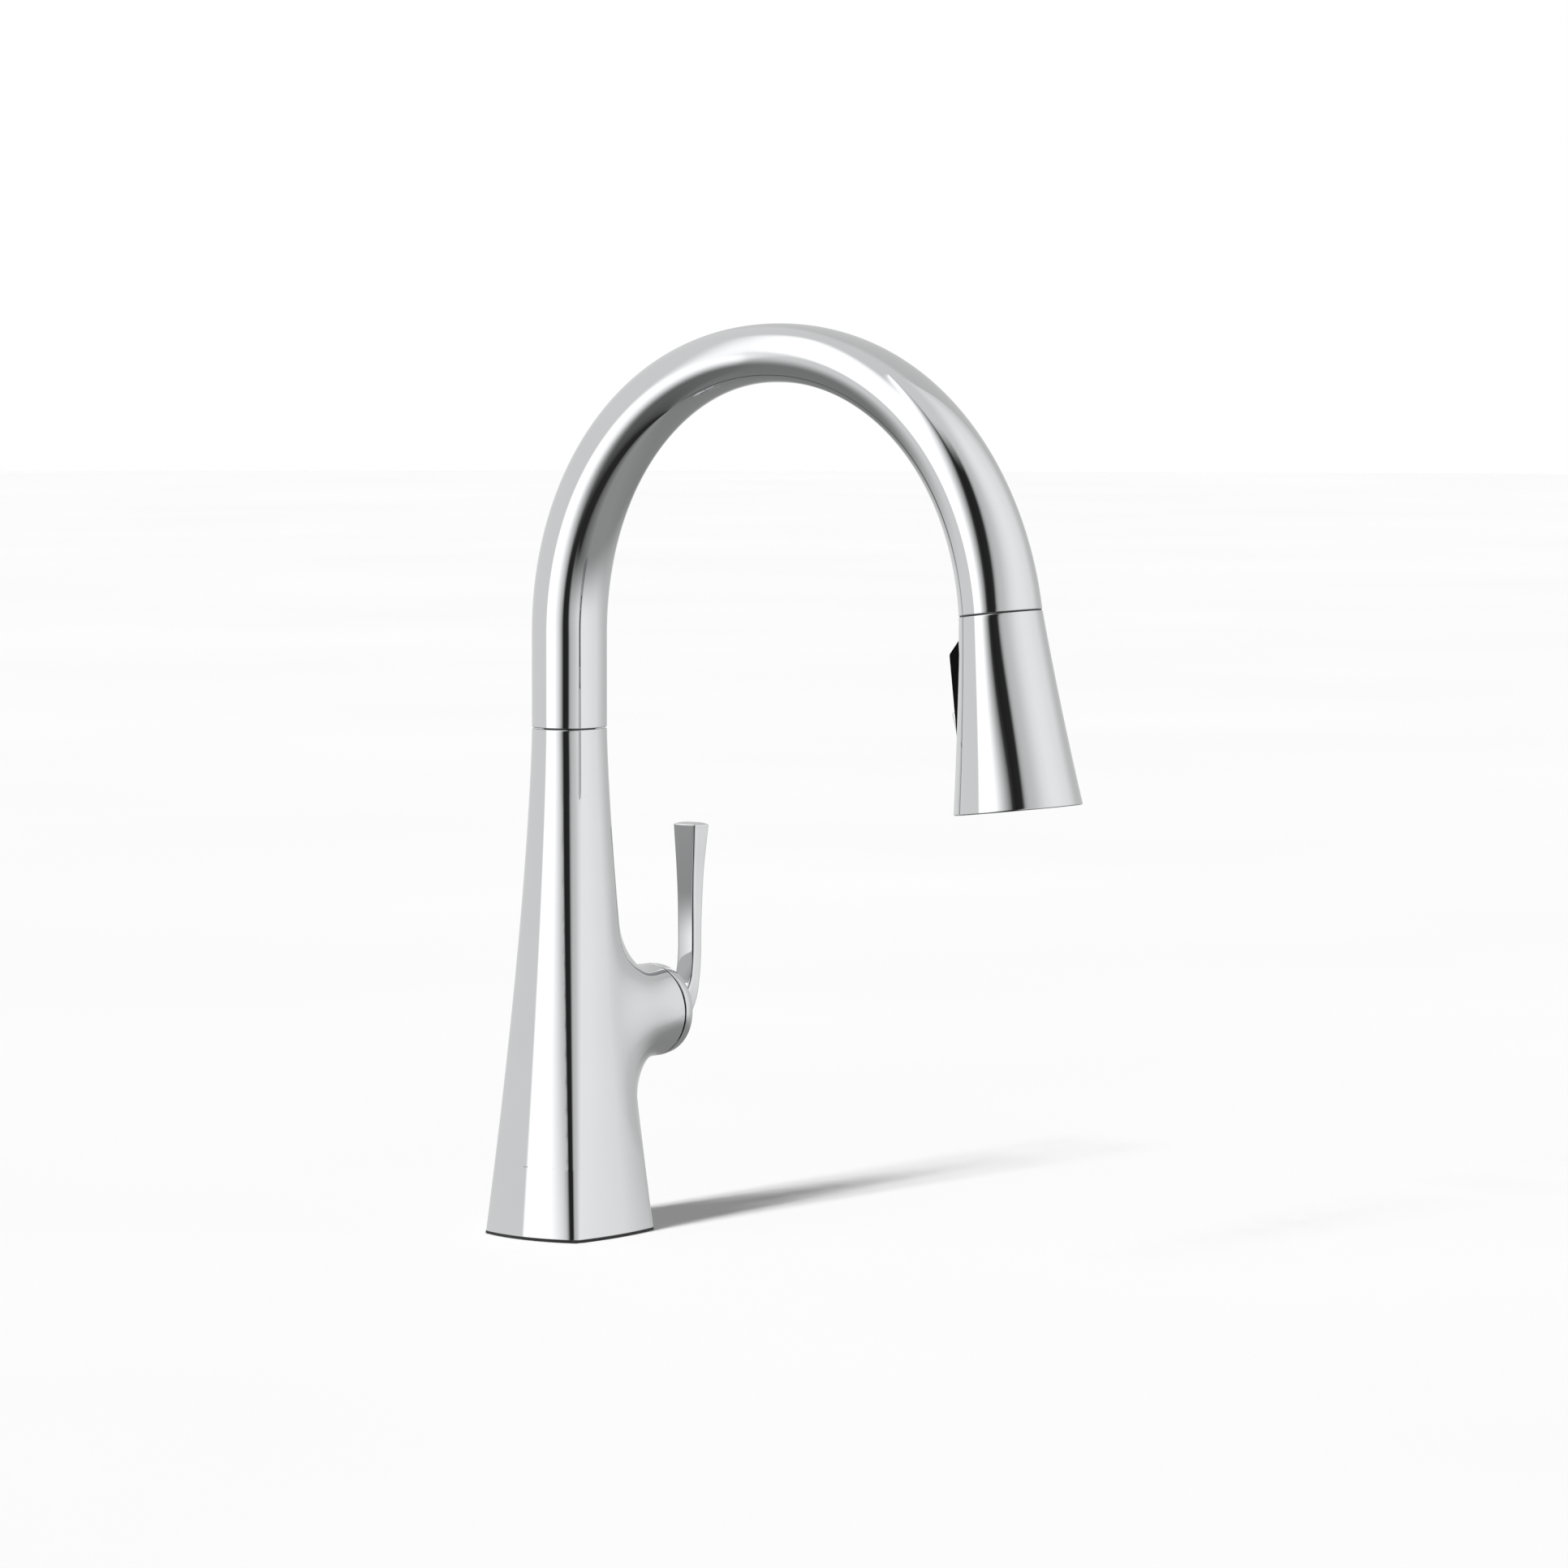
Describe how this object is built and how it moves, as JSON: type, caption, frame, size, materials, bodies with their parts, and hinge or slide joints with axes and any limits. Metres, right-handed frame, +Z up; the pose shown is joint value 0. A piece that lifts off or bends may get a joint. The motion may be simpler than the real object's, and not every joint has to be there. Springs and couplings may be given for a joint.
{
  "type": "pull-down kitchen faucet",
  "caption": "Single-lever pull-down kitchen faucet: square flared column, tall arched swivel spout that turns round at its docked spray head, and a side lever.",
  "frame": {"origin": "centre of the column on the deck plane, on the axis of the mounting shank", "axes": "+Z up, -Y from the column towards the spray head, +X towards the side that carries the lever"},
  "size_m": [0.1317, 0.3171, 0.5104],
  "materials": {
    "chrome": "polished",
    "rubber": "matte",
    "brass": "machined",
    "steel": "zinc plated",
    "copper": "drawn",
    "white_plastic": "moulded",
    "ceramic": "lapped",
    "black_plastic": "fine texture",
    "braid": "braided nylon"
  },
  "bodies": {
    "column": {"column_shell": "chrome", "deck_gasket": "rubber", "mounting_shank": "brass", "rubber_washer": "rubber", "backing_plate": "steel", "mounting_nut": "brass", "clamp_screws": "steel", "valve_manifold": "brass", "hot_riser": "copper", "cold_riser": "copper", "outlet_riser": "copper", "cartridge_seat": "brass", "port_seals": "rubber", "cartridge_base": "white_plastic", "fixed_disc": "ceramic", "cartridge_housing": "white_plastic", "cartridge_nut": "brass", "glide_ring": "black_plastic", "hose_end_fitting": "brass"},
    "spout": {"spout_tube": "chrome", "swivel_sleeve": "brass", "swivel_o_rings": "rubber", "retaining_ring": "steel", "dock_collar": "black_plastic", "dock_magnet": "black_plastic", "spray_hose": "braid"},
    "yoke": {"stem_carrier": "white_plastic", "stem_pin": "steel", "dome_cap": "chrome"},
    "disc": {"moving_disc": "ceramic"},
    "lever": {"handle_lever": "chrome", "cartridge_stem": "steel", "set_screw": "steel", "index_plug": "black_plastic"},
    "hose_tip": {"hose_ball": "brass"},
    "spray_head": {"head_shell": "chrome", "head_neck": "white_plastic", "ball_retainer": "steel", "head_core": "black_plastic", "diverter_spool": "white_plastic", "check_valve": "white_plastic", "button_bezel": "black_plastic", "button_springs": "steel", "face_ring": "chrome", "spray_face": "black_plastic", "spray_nozzles": "rubber", "aerator_seal": "rubber", "aerator": "white_plastic"},
    "spray_key": {"spray_button": "black_plastic"},
    "pause_key": {"pause_button": "chrome"}
  },
  "joints": [
    {"name": "spout_swivel", "type": "hinge", "parent": "column", "child": "spout", "pos_m": [0, 0, 0.2369], "axis": [0, 0, 1], "continuous": true},
    {"name": "spray_pull", "type": "slide", "parent": "spout", "child": "hose_tip", "axis": [0, -0.1152, -0.9933], "range_m": [0, 0.45], "stiffness_N_per_m": 8, "springref_m": -0.8, "deforming": ["spray_hose"]},
    {"name": "head_turn", "type": "hinge", "parent": "hose_tip", "child": "spray_head", "pos_m": [0, -0.24758, 0.29818], "axis": [0, -0.1152, -0.9933], "continuous": true},
    {"name": "spray_press", "type": "slide", "parent": "spray_head", "child": "spray_key", "axis": [0, -0.9933, 0.1152], "range_m": [0, 0.0015], "stiffness_N_per_m": 400, "springref_m": -0.001},
    {"name": "pause_press", "type": "slide", "parent": "spray_head", "child": "pause_key", "axis": [0, -0.9933, 0.1152], "range_m": [0, 0.0015], "stiffness_N_per_m": 400, "springref_m": -0.001},
    {"name": "handle_temperature", "type": "hinge", "parent": "column", "child": "yoke", "pos_m": [0.038, 0, 0.0995], "axis": [1, 0, 0], "range_deg": [-45, 45]},
    {"name": "handle_flow", "type": "hinge", "parent": "yoke", "child": "lever", "pos_m": [0.038, 0, 0.0995], "axis": [0, 1, 0], "range_deg": [0, 25]},
    {"name": "disc_slide", "type": "slide", "parent": "yoke", "child": "disc", "axis": [0, 0, 1], "range_m": [0, 0.0045]}
  ],
  "couplings": [
    {"joint": "disc_slide", "follows": "handle_flow", "m_per_rad": 0.01}
  ]
}
